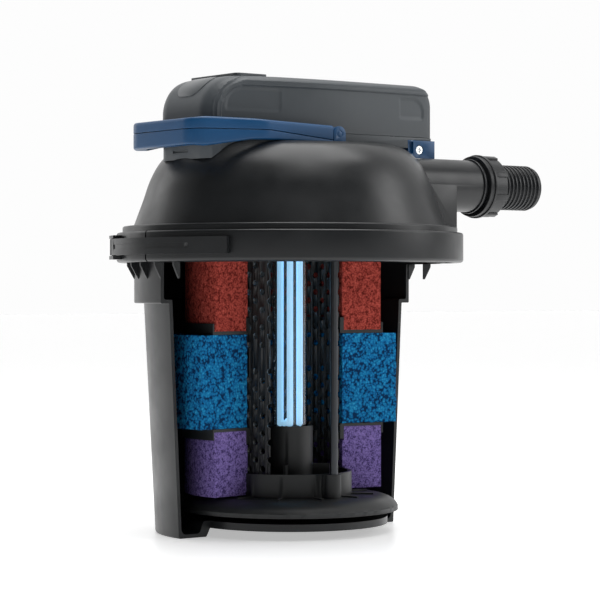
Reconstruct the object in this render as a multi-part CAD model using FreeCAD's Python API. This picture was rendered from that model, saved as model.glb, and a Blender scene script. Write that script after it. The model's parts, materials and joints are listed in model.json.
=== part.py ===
import FreeCAD, Part
import math
import os
from FreeCAD import Vector

# Pressurized pond filter, shown cut open. Millimetres, +Z up, origin at the centre of the foot.
# +X is the rear, where the hoses leave; -X is the front, with the latch and the handle's grip.
# -Y is the side that is cut open.

# clamping ring
ring_r = 190.0
ring_z0 = 293.5
ring_z1 = 326.0
ring_inner_r = 187.7
ring_top_lip_r = 184.2
ring_bottom_lip_r = 180.0
ring_lip = 5.5

# bucket
wall = 4.0
rim_r = 187.0
rim_z0 = 299.3
rim_z1 = 305.0
collar_r = 170.8
step_z = 249.5
body_top_r = 160.1
body_foot_r = 147.7
floor_z = 17.0
floor_r = 107.0
trough_r = (118.0, 141.0)
seal_r = (176.0, 180.0)

# lid
lid_z0 = 305.6
lid_flange_z1 = 319.0
bead_r = 183.5
bead_z1 = 333.0
dome_foot_r = 171.5
dome_top_z = 420.5
dome_top_r = 116.0
dome_opening_r = 40.0

# ports, both parallel to X
port_y = 80.5
port_z = 380.0
port_r = 29.0
port_bore_r = 23.0
port_end_x = 205.0
nut_x = (194.0, 220.0)
nut_r = 34.0
tail_end_x = 280.0
tail_r = 25.5
tail_bore_r = 20.0
tail_rib_pitch = 5.6

# filter insert
cut_angle = 9.14
foam_bore_r = 66.0
red_r = 115.6
blue_r = 136.0
purple_r = 116.0
red_z = (219.5, 297.0)
blue_z = (115.3, 216.0)
purple_z = (42.9, 112.3)
plate_r = 118.5
tube_r = 62.6
tube_wall = 2.8
tube_z = (50.0, 303.0)
tube_hole_r = 3.4
tube_columns = 44
tube_pitch = 19.0
rod_y = 78.0
rod_r = 4.1
running_gap = 0.05

# head
head_front_x = -143.0
head_rear_x = 150.0
head_front_half = 47.0
head_half = 69.0
head_widest_x = -10.0
seam_z = 432.5
head_top_z = 490.6
head_front_round = 40.0
head_rear_round = 24.0
head_front_corner = 20.0
head_rear_corner = 10.0
head_wall = 3.0

# handle
pivot_z = 430.5
arm_y = (76.0, 88.0)
arm_half_z = 9.5
grip_x = (-172.0, -157.0)
grip_top = 13.4
grip_bottom = -17.0

# lamp
sleeve_r = 19.2
sleeve_z = (64.0, 427.0)
leg_r = 3.4
leg_circle_r = 12.0

os.makedirs("parts", exist_ok=True)


def save(name, shape):
    shape = shape.removeSplitter()
    shape.exportStep("parts/" + name + ".step")
    print(name, len(shape.Solids), round(shape.Volume / 1000, 1), "cm3", shape.isValid())
    return shape


def point(r, z, angle=0.0):
    a = math.radians(angle)
    return Vector(r * math.cos(a), r * math.sin(a), z)


def face_of(points):
    """points: (r, z) pairs; an item that is a list is a smooth curve through its own pairs."""
    edges = []
    last = None
    for item in points + [points[0]]:
        if isinstance(item, list):
            curve = Part.BSplineCurve()
            curve.interpolate([last] + [point(*p) for p in item])
            edges.append(curve.toShape())
            last = point(*item[-1])
        else:
            here = point(*item)
            if last is not None and here.distanceToPoint(last) > 1e-6:
                edges.append(Part.makeLine(last, here))
            last = here
    return Part.Face(Part.Wire(edges))


def lathe(points, start=0.0, sweep=360.0):
    shape = face_of(points).revolve(Vector(0, 0, 0), Vector(0, 0, 1), sweep)
    shape.rotate(Vector(0, 0, 0), Vector(0, 0, 1), start)
    return shape


def ring(r0, r1, z0, z1, start=0.0, sweep=360.0):
    return lathe([(r0, z0), (r1, z0), (r1, z1), (r0, z1)], start, sweep)


def rod(r, z0, z1, x=0.0, y=0.0):
    return Part.makeCylinder(r, z1 - z0, Vector(x, y, z0))


def bar_x(r, x0, x1, y, z):
    return Part.makeCylinder(r, x1 - x0, Vector(x0, y, z), Vector(1, 0, 0))


def bar_y(r, y0, y1, x, z):
    return Part.makeCylinder(r, y1 - y0, Vector(x, y0, z), Vector(0, 1, 0))


def block(x0, x1, y0, y1, z0, z1):
    return Part.makeBox(x1 - x0, y1 - y0, z1 - z0, Vector(x0, y0, z0))


def turned(shape, angle, centre=(0, 0, 0), axis=(0, 0, 1)):
    copy = shape.copy()
    copy.rotate(Vector(*centre), Vector(*axis), angle)
    return copy


def rounded(shape, radius, choose):
    return shape.makeFillet(radius, [e for e in shape.Edges if choose(e)])


def is_upright(edge):
    ends = [v.Point for v in edge.Vertexes]
    if len(ends) < 2:
        return False
    return math.hypot(ends[0].x - ends[1].x, ends[0].y - ends[1].y) < 1e-4


def at_z(z):
    return lambda e: abs(e.BoundBox.ZMin - z) < 1e-3 and abs(e.BoundBox.ZMax - z) < 1e-3


def group(shapes):
    return Part.makeCompound(shapes)


# ---- bucket ----

def make_bucket():
    inner_top = body_top_r - wall
    inner_foot = body_foot_r - wall
    tub = lathe([
        (rim_r, rim_z0), (rim_r, rim_z1), (seal_r[1], rim_z1), (seal_r[1], rim_z1 - 3),
        (seal_r[0], rim_z1 - 3), (seal_r[0], rim_z1), (collar_r - wall, rim_z1),
        (collar_r - wall, step_z + wall), (inner_top, step_z + wall), (inner_foot + 0.4, 8),
        (trough_r[1], 4), (trough_r[0] + 4, 4), (trough_r[0] - 1, floor_z), (0, floor_z),
        (0, floor_z - 7.4), (floor_r, floor_z - 7.4), (floor_r + 5, 0), (body_foot_r, 0),
        (body_top_r, step_z), (collar_r, step_z), (collar_r, rim_z0)])
    web = face_of([(collar_r - 1, 276), (collar_r + 0.5, 276), (179, 290), (179, rim_z0 + 1),
                   (collar_r - 1, rim_z0 + 1)]).extrude(Vector(0, 2.2, 0))
    web.translate(Vector(0, -1.1, 0))
    for centre in (10, 170):
        for k in range(-2, 3):
            tub = tub.fuse(turned(web, centre + 10 * k))
    cut_away = block(-250, 250, -250, 0, -10, ring_z0 - 0.5).cut(rod(floor_r, -10, floor_z + 1))
    return tub.cut(cut_away)


def make_rim_seal():
    return ring(seal_r[0] + 0.1, seal_r[1] - 0.1, rim_z1 - 3, lid_z0)


# ---- clamping ring and latch ----

hinge_x = 195.0
latch_angle = 157.0
latch_r = 195.5
latch_z = (301.2, 318.6)
tooth_angle = 197.0
link_z = (306.5, 313.5)
link_angle = 167.0
link_r = 193.9


def ring_section(start, sweep):
    return lathe([
        (ring_inner_r, ring_z0 + ring_lip), (ring_bottom_lip_r, ring_z0 + ring_lip),
        (ring_bottom_lip_r, ring_z0), (ring_r - 3, ring_z0), (ring_r, ring_z0 + 3),
        (ring_r, ring_z1 - 3), (ring_r - 3, ring_z1), (ring_top_lip_r, ring_z1),
        (ring_top_lip_r, ring_z1 - ring_lip), (ring_inner_r, ring_z1 - ring_lip)], start, sweep)


def knuckle(z0, z1, side):
    barrel = rod(4.6, z0, z1, hinge_x, 0)
    arm = block(188.5, hinge_x, min(0, 4.6 * side), max(0, 4.6 * side), z0, z1)
    bore = rod(2.0 + running_gap, z0 - 1, z1 + 1, hinge_x, 0)
    return barrel.fuse(arm).cut(bore)


def make_ring_halves():
    gap = 0.35
    near = ring_section(180 + gap, 180 - 2 * gap)
    far = ring_section(gap, 180 - 2 * gap)
    clear = rod(5.2, ring_z0 - 1, ring_z1 + 1, hinge_x, 0)
    near = near.cut(clear)
    far = far.cut(clear)
    low, high = ring_z0 + 3, ring_z1 - 3
    third = (high - low) / 3
    near = near.fuse(knuckle(low, low + third - 0.4, -1)).fuse(knuckle(high - third + 0.4, high, -1))
    far = far.fuse(knuckle(low + third, high - third, 1))
    # ears for the lever on the far half, above and below it
    for z0, z1 in ((latch_z[0] - 4.6, latch_z[0] - 0.4), (latch_z[1] + 0.4, latch_z[1] + 4.0)):
        ear = ring(188.6, latch_r + 3.6, z0, z1, latch_angle - 3.5, 7)
        ear = ear.cut(rod(2.5 + running_gap, z0 - 1, z1 + 1, *point(latch_r, 0, latch_angle)[:2]))
        far = far.fuse(ear)
    # tooth that the strap hooks over, on the near half
    tooth = ring(189, 193.4, link_z[0] + 1.5, link_z[1] - 1.5, tooth_angle - 0.7, 1.4)
    near = near.fuse(tooth)
    return near, far


def make_ring_hinge_pin():
    return rod(2.0, ring_z0 + 2, ring_z1 - 2, hinge_x, 0)


def make_latch_lever():
    r0, r1 = 190.7, 199.2
    a0, a1 = latch_angle + 1.0, 214.0
    lever = ring(r0, r1, latch_z[0], latch_z[1], a0, a1 - a0)
    lever = lever.cut(ring(r0 - 1, 196.3, latch_z[0] + 2.6, latch_z[1] - 2.6, a0 + 1.5, a1 - a0 - 4))
    centre = point(latch_r, 0, latch_angle)
    eye = rod(4.4, latch_z[0], latch_z[1], centre.x, centre.y)
    eye = eye.cut(ring(180, 190.7, latch_z[0] - 1, latch_z[1] + 1, latch_angle - 6, 12))
    lever = lever.fuse(eye).fuse(ring(191.6, r1, latch_z[0], latch_z[1], latch_angle, 4))
    lever = lever.cut(rod(2.5 + running_gap, latch_z[0] - 1, latch_z[1] + 1, centre.x, centre.y))
    finger = ring(r1 - 0.9, r1 + 1, (latch_z[0] + latch_z[1]) / 2 - 2.4,
                  (latch_z[0] + latch_z[1]) / 2 + 2.4, latch_angle + 4, 40)
    pin = point(link_r, 0, link_angle)
    lever = lever.cut(rod(1.2 + running_gap, latch_z[0] + 1, latch_z[1] - 1, pin.x, pin.y))
    return lever.cut(finger)


def make_latch_link():
    pin = point(link_r, 0, link_angle)
    strap = ring(191.6, 193.2, link_z[0], link_z[1], link_angle, tooth_angle + 3 - link_angle)
    strap = strap.fuse(rod(2.2, link_z[0], link_z[1], pin.x, pin.y))
    strap = strap.cut(rod(1.2 + running_gap, link_z[0] - 1, link_z[1] + 1, pin.x, pin.y))
    window = ring(190, 195, link_z[0] + 1.1, link_z[1] - 1.1, tooth_angle - 1.0, 2.8)
    return strap.cut(window)


# ---- lid and ports ----

dome_curve = [(166.0, 348.0), (160.5, 363.0), (154.4, 381.0), (146.5, 397.0), (138.0, 408.0),
              (127.5, 416.6), (dome_top_r, dome_top_z)]


def port_solid(side):
    """Outer shape of one port: the pipe, its thread end and the web down to the flange."""
    y = side * port_y
    pipe = bar_x(port_r, 40, port_end_x, y, port_z)
    collar = bar_x(port_r + 1.6, port_end_x - 17, port_end_x - 14, y, port_z)
    web = block(90, 148, min(y, y + side * port_r), max(y, y + side * port_r), bead_z1 - 2, port_z)
    inner_web = block(90, 148, min(y, y - side * port_r), max(y, y - side * port_r), bead_z1 - 2, port_z)
    return pipe.fuse(collar).fuse(web).fuse(inner_web)


def make_lid():
    outer = lathe([
        (0, lid_z0), (rim_r, lid_z0), (rim_r, lid_flange_z1), (bead_r, lid_flange_z1),
        (bead_r, bead_z1 - 2), (bead_r - 2, bead_z1), (dome_foot_r, bead_z1), dome_curve,
        (0, dome_top_z)])
    inner_curve = [(r - wall, z - 2) for r, z in dome_curve[:-1]] + [(dome_top_r - 2, dome_top_z - wall)]
    inner = lathe([(0, lid_z0 - 1), (dome_foot_r - wall, lid_z0 - 1), (dome_foot_r - wall, bead_z1 - 2),
                   inner_curve, (0, dome_top_z - wall)])
    shell = outer.cut(inner)
    for side in (-1, 1):
        shell = shell.fuse(port_solid(side).cut(inner))
    for side in (-1, 1):
        shell = shell.cut(bar_x(port_bore_r, 60, port_end_x + 1, side * port_y, port_z))
        shell = shell.cut(rod(rod_r + 2.4, dome_top_z - 12, dome_top_z + 1, 0, side * rod_y))
    return shell.cut(rod(dome_opening_r, dome_top_z - 6, dome_top_z + 1))


def make_insert_plate():
    """Partition above the foams; its outer edge is clamped between the lid and the bucket rim."""
    z0 = red_z[1] + 0.4
    plate = ring(tube_r + 0.4, collar_r - wall - 0.6, z0, z0 + 4)
    plate = plate.cut(ring(red_r + 6, collar_r - 12, z0 - 1, z0 + 5, 20, 50))
    plate = plate.cut(ring(red_r + 6, collar_r - 12, z0 - 1, z0 + 5, 110, 50))
    for side in (-1, 1):
        plate = plate.cut(rod(rod_r + 0.5, z0 - 1, z0 + 5, 0, side * rod_y))
    return plate


def make_outlet_chamber():
    z0 = red_z[1] + 4.4
    top = dome_top_z - wall
    outer = rod(tube_r + 4, z0, top).fuse(bar_y(27, -port_y, 0, 45, port_z))
    outer = outer.fuse(bar_x(27, 45, 85, -port_y, port_z))
    outer = outer.fuse(Part.makeSphere(27, Vector(45, -port_y, port_z)))
    inner = rod(tube_r + 0.3, z0 - 1, top - 4).fuse(bar_y(24, -port_y, 0, 45, port_z))
    inner = inner.fuse(bar_x(24, 45, 86, -port_y, port_z))
    inner = inner.fuse(Part.makeSphere(24, Vector(45, -port_y, port_z)))
    chamber = outer.cut(inner).cut(rod(dome_opening_r - 2, top - 5, top + 1))
    for side in (-1, 1):
        chamber = chamber.cut(rod(rod_r + 4, z0 - 1, top + 1, 0, side * rod_y))
    return chamber


def make_union_nut():
    x0, x1 = nut_x
    nut = bar_x(nut_r, x0, x1, 0, 0).fuse(bar_x(nut_r + 1.6, x0 + 6, x0 + 9, 0, 0))
    for k in range(8):
        grip = block(x0 + 9, x1, -3.6, 3.6, nut_r - 2, nut_r + 1.6)
        nut = nut.fuse(turned(grip, 45 * k + 22.5, (0, 0, 0), (1, 0, 0)))
    hollow = bar_x(port_r + 0.5, x0 - 1, x1 - 5, 0, 0)
    nut = nut.cut(hollow).cut(bar_x(tail_r + 0.6, x0, x1 + 1, 0, 0))
    return nut


def make_hose_tail():
    x0, x1 = port_end_x + 1.8, tail_end_x
    tail = bar_x(port_r - 0.4, x0, nut_x[1] - 5.4, 0, 0).fuse(bar_x(tail_r - 1.6, x0, x1 - 2, 0, 0))
    ribs = int((x1 - nut_x[1] - 4) / tail_rib_pitch)
    for k in range(ribs):
        x = nut_x[1] + 3 + k * tail_rib_pitch
        crest = tail_rib_pitch * 0.4
        cone = Part.makeCone(tail_r, tail_r - 1.7, crest, Vector(x + crest, 0, 0), Vector(1, 0, 0))
        tail = tail.fuse(bar_x(tail_r, x, x + crest, 0, 0)).fuse(cone)
    nose = Part.makeCone(tail_r - 1.2, tail_r - 3, 4, Vector(x1 - 4, 0, 0), Vector(1, 0, 0))
    return tail.fuse(nose).cut(bar_x(tail_bore_r, x0 - 1, x1 + 1, 0, 0))


def make_port_gasket():
    x = port_end_x
    return bar_x(port_r - 1, x, x + 1.8, 0, 0).cut(bar_x(port_bore_r, x - 1, x + 3, 0, 0))


# ---- filter insert ----

kept_start = -cut_angle
kept_sweep = 180 + 2 * cut_angle
sleeve_in_r = tube_r + 0.7
sleeve_out_r = 68.0


def sector(points):
    return lathe(points, kept_start, kept_sweep)


def drill_rod(shape, r, z0, z1):
    return shape.cut(rod(r, z0 - 1, z1 + 1, 0, rod_y))


def make_foam_red():
    z0, z1 = red_z
    step = sleeve_out_r + 0.4
    foam = sector([(step, z0), (red_r, z0), (red_r, z1), (foam_bore_r, z1), (foam_bore_r, z0 + 16),
                   (step, z0 + 16)])
    return drill_rod(foam, 5.2, z0, z1)


def make_foam_blue():
    z0, z1 = blue_z
    foam = sector([(foam_bore_r, z0), (blue_r, z0), (blue_r, z1), (foam_bore_r, z1)])
    return drill_rod(foam, 5.2, z0, z1)


def make_foam_purple():
    z0, z1 = purple_z
    step = sleeve_out_r + 0.4
    foam = sector([(step, z0), (purple_r, z0), (purple_r, z1), (step, z1), (step, z1 - 15),
                   (foam_bore_r, z1 - 15), (foam_bore_r, z0 + 24), (step, z0 + 24)])
    foam = drill_rod(foam, 5.2, z0, z1)
    for y in (rod_y - 8, rod_y - 2):
        foam = foam.cut(rod(9.2, z0 - 1, z0 + 24, 0, y))
    return foam


def make_separator(z0, z1, up):
    """Plate between two foams, with a lip, a small spike and an inner sleeve towards side up."""
    face, back = (z1, z0) if up > 0 else (z0, z1)
    plate = sector([(sleeve_in_r, z0), (plate_r - 0.3, z0), (plate_r - 0.3, z1), (sleeve_in_r, z1)])
    lip = sector([(plate_r - 2.2, face), (plate_r - 0.3, face), (plate_r - 0.3, face + up * 8.5),
                  (plate_r - 2.2, face + up * 8.5)])
    sleeve = sector([(sleeve_in_r, face), (sleeve_out_r, face), (sleeve_out_r, face + up * 14),
                     (sleeve_in_r, face + up * 14)])
    part = plate.fuse(lip).fuse(sleeve)
    for a in range(0, 180, 20):
        window = ring(sleeve_out_r + 8, plate_r - 10, z0 - 1, z1 + 1, a + 4, 12)
        if abs(a + 10 - 90) > 1:
            part = part.cut(window)
    return drill_rod(part, rod_r + 0.4, z0 - 1, z1 + 1)


def make_base_plate():
    plate = lathe([
        (sleeve_in_r + 0.4, 36), (sleeve_in_r + 0.4, 66),
        (sleeve_out_r - 0.2, 66), (sleeve_out_r - 0.2, 40.5),
        (95, 40.5), [(106, 38.6), (114, 34.4), (plate_r, 28.5)], (plate_r, 24), (plate_r - 3, 24),
        (plate_r - 3, 28), [(111, 32), (104, 35), (95, 36.5)]])
    for side in (-1, 1):
        boss = rod(8.8, 36, 66, 0, side * (rod_y - 8)).fuse(rod(8.8, 36, 66, 0, side * (rod_y - 2)))
        boss = boss.cut(rod(sleeve_in_r + 0.4, 30, 70))
        plate = plate.fuse(boss).cut(rod(rod_r, 30, 67, 0, side * rod_y))
    for k in range(12):
        rib = block(sleeve_out_r - 1, 92, -1, 1, 38, 42.2)
        plate = plate.fuse(turned(rib, 30 * k + 15))
    return plate


def make_core_tube():
    tube = ring(tube_r - tube_wall, tube_r, tube_z[0], tube_z[1], -8, 180 + 2 * cut_angle + 22)
    drills = []
    step = 360.0 / tube_columns
    for k in range(tube_columns):
        angle = k * step
        if 214 < angle < 350:
            continue
        z = tube_z[0] + 12 + (tube_pitch / 2 if k % 2 else 0)
        while z < tube_z[1] - 12:
            if abs(z - 190) > 7:
                drill = Part.makeCylinder(tube_hole_r, tube_wall + 4, Vector(tube_r - tube_wall - 2, 0, z),
                                          Vector(1, 0, 0))
                drills.append(turned(drill, angle))
            z += tube_pitch
    return tube.cut(drills)


def make_lamp_guard():
    foot = rod(tube_r - tube_wall - 0.3, 46, 49.7).fuse(ring(tube_r - 4, tube_r, 46, 49.7))
    cup = ring(22.4, 25.2, 49.7, 115.3)
    guard = foot.fuse(cup)
    for a in range(4):
        fin = block(24.4, 44, -1.3, 1.3, 49, 74)
        guard = guard.fuse(turned(fin, 90 * a + 45))
    guard = guard.cut(block(-60, 60, -2.2, 2.2, 62, 72).cut(rod(22, 50, 80)))
    for a in range(8):
        guard = guard.cut(turned(rod(5.5, 40, 55, 38, 0), 45 * a))
    return guard


def make_lift_rods():
    rods = [rod(rod_r, 33.0, 424.0, 0, side * rod_y) for side in (-1, 1)]
    return group(rods)


def make_rod_nuts():
    nuts = []
    for side in (-1, 1):
        hexagon = [point(7, 28, 60 * k) + Vector(0, side * rod_y, 0)
                   for k in range(7)]
        nut = Part.Face(Part.makePolygon(hexagon)).extrude(Vector(0, 0, 5))
        nuts.append(nut)
    return group(nuts)


def make_rod_seals():
    seals = []
    for side in (-1, 1):
        y = side * rod_y
        seal = rod(rod_r + 2.3, dome_top_z - wall, dome_top_z, 0, y).fuse(
            rod(rod_r + 4, dome_top_z - wall - 3, dome_top_z - wall, 0, y))
        seals.append(seal.cut(rod(rod_r + running_gap, 380, 440, 0, y)))
    return group(seals)


# ---- head ----

def head_plan(inset):
    fx, rx = head_front_x + inset, head_rear_x - inset
    corners = [(fx, head_front_half - inset), (head_widest_x, head_half - inset), (rx, head_half - inset)]
    loop = corners + [(x, -y) for x, y in reversed(corners)]
    return [Vector(x, y, 0) for x, y in loop]


def head_block(inset, z0, z1):
    points = head_plan(inset)
    face = Part.Face(Part.makePolygon(points + [points[0]]))
    solid = face.extrude(Vector(0, 0, z1 - z0))
    solid.translate(Vector(0, 0, z0))
    solid = rounded(solid, head_front_corner - inset, lambda e: is_upright(e) and e.BoundBox.XMax < 0
                    and abs(e.BoundBox.XMax - head_widest_x) > 1)
    return rounded(solid, head_rear_corner - inset, lambda e: is_upright(e) and e.BoundBox.XMin > 100
                   and e.Length > 1 and abs(e.BoundBox.XMin - head_rear_x + inset) < 0.01)


def head_form(inset, z0):
    """Solid of the head's outside moved in by inset: plan and side view cut from one another."""
    top = head_top_z - inset
    side = block(head_front_x + inset, head_rear_x - inset, -90, 90, z0, top)
    side = rounded(side, head_front_round - inset,
                   lambda e: e.BoundBox.ZMin > top - 1 and e.BoundBox.XMax < head_front_x + inset + 1)
    side = rounded(side, head_rear_round - inset,
                   lambda e: e.BoundBox.ZMin > top - 1 and e.BoundBox.XMin > head_rear_x - inset - 1)
    return head_block(inset, z0, top + 1).common(side)


def panel_space(grow):
    """Prism square to the rounded front, in the outline of the panel."""
    shape = rounded(block(-19 - grow, 19 + grow, -23 - grow, 23 + grow, 20, 60), 16 + grow, is_upright)
    shape.rotate(Vector(0, 0, 0), Vector(0, 1, 0), -35)
    shape.translate(Vector(head_front_x + head_front_round, 0, head_top_z - head_front_round))
    return shape


def rail_space(grow):
    return rounded(block(-104 - grow, -62 + grow, -44 - grow, 44 + grow, 470, 500), 6 + grow, is_upright)


def make_head_cover():
    outer = head_form(0, seam_z)
    cover = outer.cut(head_form(head_wall, seam_z - 1))
    for side in (-1, 1):
        for x in (-95, 115):
            cover = cover.fuse(rod(6, seam_z, head_top_z + 2, x, side * 36).common(outer))
            cover = cover.cut(rod(1.7, seam_z - 1, seam_z + 26, x, side * 36))
    cover = cover.cut(panel_space(0.3).cut(head_form(1.4, 440)))
    cover = cover.cut(rail_space(0.3).cut(head_form(1.0, 440)))
    return cover.cut(bar_x(8, 140, 151, 30, 452))


def dome_space():
    return lathe([(0, 300), (dome_foot_r + 1, 300), (dome_foot_r + 1, bead_z1),
                  [(r + 0.6, z + 0.4) for r, z in dome_curve], (0, dome_top_z + 0.2)])


def make_head_base():
    outer = head_block(0, dome_top_z + 0.2, seam_z)
    skirt = head_block(0, 402, seam_z).cut(block(-105, 200, -90, 90, 390, dome_top_z + 0.2))
    outer = outer.fuse(skirt).cut(dome_space())
    recess = head_block(head_wall, dome_top_z + 3.2, seam_z + 1)
    base = outer.cut(recess)
    base = base.cut(rod(dome_opening_r - 4, dome_top_z - 1, dome_top_z + 5))
    for side in (-1, 1):
        for x in (-95, 115):
            base = base.fuse(rod(6, dome_top_z + 0.2, seam_z, x, side * 36))
            base = base.cut(rod(2.3, 390, seam_z + 1, x, side * 36))
            base = base.cut(rod(4.2, 390, dome_top_z + 5, x, side * 36))
    base = base.cut(block(111, 151, -70, -48, 405, seam_z - 2.6))
    return base


def make_head_gasket():
    return ring(dome_opening_r + 2, dome_opening_r + 8, dome_top_z, dome_top_z + 0.2)


def make_top_panel():
    layer = head_form(-0.8, 440).cut(head_form(1.4, 440))
    return layer.common(panel_space(0)).cut(rail_space(0.3))


def make_top_rail():
    layer = head_form(-3.0, 440).cut(head_form(1.0, 440))
    return layer.common(rail_space(0)).cut(panel_space(0.3))


def make_rear_lock():
    lock = block(111.4, 150.0, -69, -48.4, 406, seam_z - 3)
    lock = lock.cut(block(112, 119, -75, -66, 415, 428)).cut(bar_y(5.4, -70, -66, 128, 419))
    lock = lock.cut(dome_space()).cut(bar_x(port_r + 0.4, 40, 180, -port_y, port_z))
    return lock.cut(bar_y(1.9, -68, -48, 128, 419))


def make_lock_screw():
    head = bar_y(4.6, -68.6, -66, 128, 419).fuse(bar_y(1.9, -66, -49, 128, 419))
    for dx, dz in ((3, 0.7), (0.7, 3)):
        head = head.cut(block(128 - dx, 128 + dx, -69, -67.2, 419 - dz, 419 + dz))
    return head


def make_cover_screws():
    screws = []
    for side in (-1, 1):
        for x in (-95, 115):
            y = side * 36
            shank = rod(1.7, dome_top_z + 5, seam_z + 24, x, y)
            screw = shank.fuse(rod(3.6, dome_top_z + 2, dome_top_z + 5, x, y))
            screws.append(screw)
    return group(screws)


def make_ballast():
    return rounded(block(40, 130, -26, 26, dome_top_z + 3.2, 462), 4, is_upright)


def make_lamp_socket():
    socket = rod(17, 413, 446).fuse(rod(24, 432, 440))
    for k in range(6):
        a = math.radians(60 * k + 53)
        socket = socket.cut(rod(leg_r, 412, 416, leg_circle_r * math.cos(a), leg_circle_r * math.sin(a)))
    return socket


def make_sleeve_nut():
    return ring(sleeve_r + 0.3, 34, dome_top_z + 3.2, 431).cut(ring(30, 40, 425, 432))


def make_sleeve_seal():
    return ring(sleeve_r, 32, dome_top_z - 0.8, dome_top_z + 3.2)


def make_uv_lamp():
    """Three U-shaped legs pairs on one circle, joined at the bottom, in a round cap."""
    legs = rod(16.5, 400, 413)
    low = 118.0
    for k in range(6):
        a = math.radians(60 * k + 53)
        x, y = leg_circle_r * math.cos(a), leg_circle_r * math.sin(a)
        legs = legs.fuse(rod(leg_r, low, 401, x, y)).fuse(Part.makeSphere(leg_r, Vector(x, y, low)))
    for k in range(3):
        a0, a1 = (math.radians(60 * j + 53) for j in (2 * k, 2 * k + 1))
        p0 = Vector(leg_circle_r * math.cos(a0), leg_circle_r * math.sin(a0), low)
        p1 = Vector(leg_circle_r * math.cos(a1), leg_circle_r * math.sin(a1), low)
        legs = legs.fuse(Part.makeCylinder(leg_r - 0.2, (p1 - p0).Length, p0, p1 - p0))
    for k in range(6):
        a = math.radians(60 * k + 53)
        legs = legs.fuse(rod(1.2, 413, 416, leg_circle_r * math.cos(a), leg_circle_r * math.sin(a)))
    return legs


def make_quartz_sleeve():
    z0, z1 = sleeve_z
    return lathe([(0, z0), [(13.6, z0 + 5.6), (sleeve_r, sleeve_r + z0)],
                  (sleeve_r, z1), (sleeve_r - 1.6, z1),
                  (sleeve_r - 1.6, z0 + sleeve_r), [(12.4, z0 + 7.0), (0, z0 + 1.6)]])


def make_cable_gland():
    body = bar_x(8, 147.2, 162, 30, 452).fuse(bar_x(11, 150.2, 155, 30, 452))
    return body.cut(bar_x(3.6, 140, 170, 30, 452))


# ---- handle ----

def handle_prism(points, radii):
    """Block over half a bail outline and its mirror image, with its upright edges rounded."""
    loop = points + [(x, -y) for x, y in reversed(points)]
    corners = [Vector(x, y, 0) for x, y in loop]
    solid = Part.Face(Part.makePolygon(corners + [corners[0]])).extrude(Vector(0, 0, 60))
    solid.translate(Vector(0, 0, pivot_z - 30))
    for x, radius in radii:
        solid = rounded(solid, radius, lambda e: is_upright(e) and abs(e.BoundBox.XMin - x) < 0.01)
    return solid


def handle_side():
    """Side view of the bail: low over the dome, deepest at the front corners."""
    top = [(-8.8, 8.6), (-50, 9.2), (-100, 11.6), (-135, grip_top), (-155, grip_top), (-176, 11.2)]
    bottom = [(-176, -14), (-157, grip_bottom), (-142, -15.8), (-126, -11.4), (-114, -arm_half_z)]
    upper = Part.BSplineCurve()
    upper.interpolate([Vector(x, -100, pivot_z + z) for x, z in top])
    lower = Part.BSplineCurve()
    lower.interpolate([Vector(x, -100, pivot_z + z) for x, z in bottom])
    ends = [Vector(-8.8, -100, pivot_z + top[0][1]), Vector(-176, -100, pivot_z + 11.2),
            Vector(-176, -100, pivot_z - 14), Vector(-114, -100, pivot_z - arm_half_z),
            Vector(-8.8, -100, pivot_z - arm_half_z)]
    edges = [upper.toShape(), Part.makeLine(ends[1], ends[2]), lower.toShape(),
             Part.makeLine(ends[3], ends[4]), Part.makeLine(ends[4], ends[0])]
    return Part.Face(Part.Wire(edges)).extrude(Vector(0, 200, 0))


def make_handle_shells():
    outer = handle_prism([(-8.8, arm_y[1]), (-100, 86.0), (grip_x[0], 60.0)], [(-100, 60), (grip_x[0], 26)])
    inner = handle_prism([(-8.0, arm_y[0]), (-104, 75.6), (grip_x[1], 50.0)], [(-104, 40), (grip_x[1], 15)])
    body = outer.cut(inner).common(handle_side())
    for s in (-1, 1):
        y0, y1 = sorted((s * (arm_y[0] + 3), s * (arm_y[1] - 3)))
        tongue = block(-12, 0, y0, y1, pivot_z - 6, pivot_z + 6).fuse(bar_y(6, y0, y1, 0, pivot_z))
        body = body.fuse(tongue)
        body = body.cut(bar_y(3.5 + running_gap, -95, 95, 0, pivot_z))
    split = [(-200, 0.6), (-34, 0.6), (-14, -7.0), (-4, -7.0), (-4, -30), (-200, -30)]
    points = [Vector(x, -110, pivot_z + z) for x, z in split]
    low_space = Part.Face(Part.makePolygon(points + [points[0]])).extrude(Vector(0, 220, 0))
    lower = body.common(low_space)
    upper = body.cut(low_space)
    screws = []
    for x, y in ((-164, 20), (-164, -20), (-70, 82), (-70, -82)):
        low = pivot_z + (grip_bottom + 1.0 if x < -140 else -arm_half_z - 0.6)
        lower = lower.cut(rod(3.2, low - 1, low + 4, x, y)).cut(rod(1.5, low, pivot_z + 1, x, y))
        upper = upper.cut(rod(1.5, pivot_z, pivot_z + 5, x, y))
        screws.append(rod(2.8, low + 1.4, low + 4, x, y).fuse(rod(1.5, low + 4, pivot_z + 5, x, y)))
    return upper, lower, group(screws)


def make_handle_brackets():
    brackets = []
    for s in (-1, 1):
        y0, y1 = sorted((s * 70.4, s * arm_y[1]))
        solid = block(-8.2, 8.2, y0, y1, pivot_z - 9.7, pivot_z).fuse(bar_y(8.2, y0, y1, 0, pivot_z))
        t0, t1 = sorted((s * (arm_y[0] + 2.6), s * (arm_y[1] - 2.6)))
        slot = block(-9, 9, t0, t1, pivot_z - 6.6, pivot_z + 10)
        solid = solid.cut(slot).cut(bar_y(3.5, -95, 95, 0, pivot_z))
        brackets.append(solid.cut(rod(rod_r, pivot_z - 12, pivot_z - 6.4, 0, s * rod_y)))
    return group(brackets)


def make_handle_pins():
    pins = []
    for s in (-1, 1):
        y0, y1 = sorted((s * 70.4, s * arm_y[1]))
        pins.append(bar_y(3.5, y0, y1, 0, pivot_z))
    return group(pins)


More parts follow.
